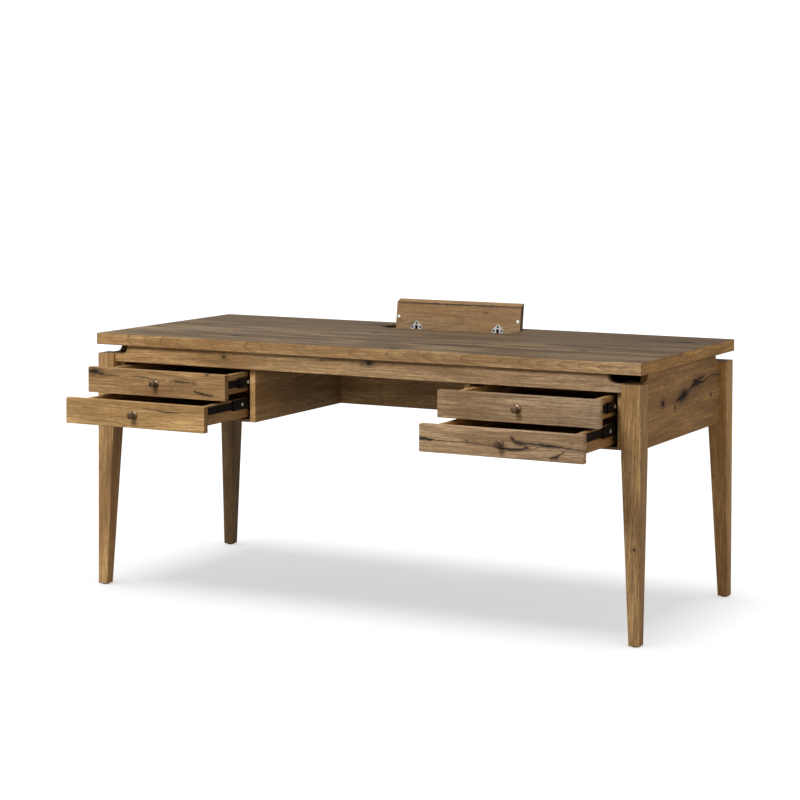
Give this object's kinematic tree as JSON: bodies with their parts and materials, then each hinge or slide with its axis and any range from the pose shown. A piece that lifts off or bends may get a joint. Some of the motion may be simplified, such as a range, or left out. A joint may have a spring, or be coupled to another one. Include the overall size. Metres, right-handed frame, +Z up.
{
  "type": "writing desk",
  "caption": "Straight wooden writing desk on tapered legs, with two banks of shallow drawers on slides, an open kneehole and a hinged cable flap in the top.",
  "frame": {"origin": "on the floor, under the middle of the desk's box with its drawers partly open", "axes": "+X along the desk's length to the user's right as they sit, +Y from the user to the back, +Z up"},
  "size_m": [1.752, 1.022, 0.8431],
  "materials": {
    "oak_top": "satin lacquer on rustic oak, grain along the length",
    "oak_case": "satin lacquer on rustic oak veneer",
    "oak_fronts": "satin lacquer on rustic oak with filled knots and cracks",
    "oak_legs": "satin lacquer on solid oak, grain upright",
    "case_lining": "thin lacquer on plywood",
    "drawer_box": "thin lacquer on solid wood",
    "knob_brass": "aged, dark bronze patina",
    "slide_steel": "black",
    "hinge_zinc": "plated",
    "black_screws": "black",
    "screw_steel": "plated",
    "bumper_plastic": "soft, milky white",
    "glide_plastic": "dark"
  },
  "bodies": {
    "desk": {"desk_top": "oak_top", "front_left_leg": "oak_legs", "front_right_leg": "oak_legs", "rear_left_leg": "oak_legs", "rear_right_leg": "oak_legs", "front_apron": "oak_case", "back_panel": "oak_case", "left_side_panel": "oak_case", "right_side_panel": "oak_case", "left_case_side": "case_lining", "right_case_side": "case_lining", "left_kneehole_side": "oak_case", "right_kneehole_side": "oak_case", "inner_back_panel": "oak_case", "left_case_bottom": "case_lining", "right_case_bottom": "case_lining", "compartment_floor": "case_lining", "side_spacers": "case_lining", "top_cleats": "case_lining", "top_screws": "screw_steel", "foot_glides": "glide_plastic", "case_slide_rails": "slide_steel", "flap_hinge_brackets": "hinge_zinc", "flap_hinge_pins": "hinge_zinc", "bracket_screws": "screw_steel", "flap_rests": "case_lining"},
    "cable_flap": {"cable_flap": "oak_top", "flap_hinge_plates": "hinge_zinc", "flap_hinge_screws": "black_screws", "flap_bumpers": "bumper_plastic"},
    "upper_left_drawer": {"upper_left_front": "oak_fronts", "upper_left_sides": "drawer_box", "upper_left_back": "drawer_box", "upper_left_bottom": "drawer_box", "upper_left_knob": "knob_brass", "upper_left_drawer_rails": "slide_steel"},
    "upper_left_slides": {"upper_left_middle_rails": "slide_steel"},
    "lower_left_drawer": {"lower_left_front": "oak_fronts", "lower_left_sides": "drawer_box", "lower_left_back": "drawer_box", "lower_left_bottom": "drawer_box", "lower_left_knob": "knob_brass", "lower_left_drawer_rails": "slide_steel"},
    "lower_left_slides": {"lower_left_middle_rails": "slide_steel"},
    "upper_right_drawer": {"upper_right_front": "oak_fronts", "upper_right_sides": "drawer_box", "upper_right_back": "drawer_box", "upper_right_bottom": "drawer_box", "upper_right_knob": "knob_brass", "upper_right_drawer_rails": "slide_steel"},
    "upper_right_slides": {"upper_right_middle_rails": "slide_steel"},
    "lower_right_drawer": {"lower_right_front": "oak_fronts", "lower_right_sides": "drawer_box", "lower_right_back": "drawer_box", "lower_right_bottom": "drawer_box", "lower_right_knob": "knob_brass", "lower_right_drawer_rails": "slide_steel"},
    "lower_right_slides": {"lower_right_middle_rails": "slide_steel"}
  },
  "joints": [
    {"name": "cable_flap_hinge", "type": "hinge", "parent": "desk", "child": "cable_flap", "pos_m": [0, 0.442, 0.746], "axis": [1, 0, 0], "range_deg": [0, 98]},
    {"name": "upper_left_drawer_slide", "type": "slide", "parent": "desk", "child": "upper_left_drawer", "axis": [0, -1, 0], "range_m": [-0.141, 0.309]},
    {"name": "upper_left_middle_slide", "type": "slide", "parent": "desk", "child": "upper_left_slides", "axis": [0, -1, 0], "range_m": [-0.0705, 0.1545]},
    {"name": "lower_left_drawer_slide", "type": "slide", "parent": "desk", "child": "lower_left_drawer", "axis": [0, -1, 0], "range_m": [-0.251, 0.199]},
    {"name": "lower_left_middle_slide", "type": "slide", "parent": "desk", "child": "lower_left_slides", "axis": [0, -1, 0], "range_m": [-0.1255, 0.0995]},
    {"name": "upper_right_drawer_slide", "type": "slide", "parent": "desk", "child": "upper_right_drawer", "axis": [0, -1, 0], "range_m": [-0.151, 0.299]},
    {"name": "upper_right_middle_slide", "type": "slide", "parent": "desk", "child": "upper_right_slides", "axis": [0, -1, 0], "range_m": [-0.0755, 0.1495]},
    {"name": "lower_right_drawer_slide", "type": "slide", "parent": "desk", "child": "lower_right_drawer", "axis": [0, -1, 0], "range_m": [-0.259, 0.191]},
    {"name": "lower_right_middle_slide", "type": "slide", "parent": "desk", "child": "lower_right_slides", "axis": [0, -1, 0], "range_m": [-0.1295, 0.0955]}
  ],
  "couplings": [
    {"joint": "upper_left_middle_slide", "follows": "upper_left_drawer_slide", "ratio": 0.5},
    {"joint": "lower_left_middle_slide", "follows": "lower_left_drawer_slide", "ratio": 0.5},
    {"joint": "upper_right_middle_slide", "follows": "upper_right_drawer_slide", "ratio": 0.5},
    {"joint": "lower_right_middle_slide", "follows": "lower_right_drawer_slide", "ratio": 0.5}
  ]
}
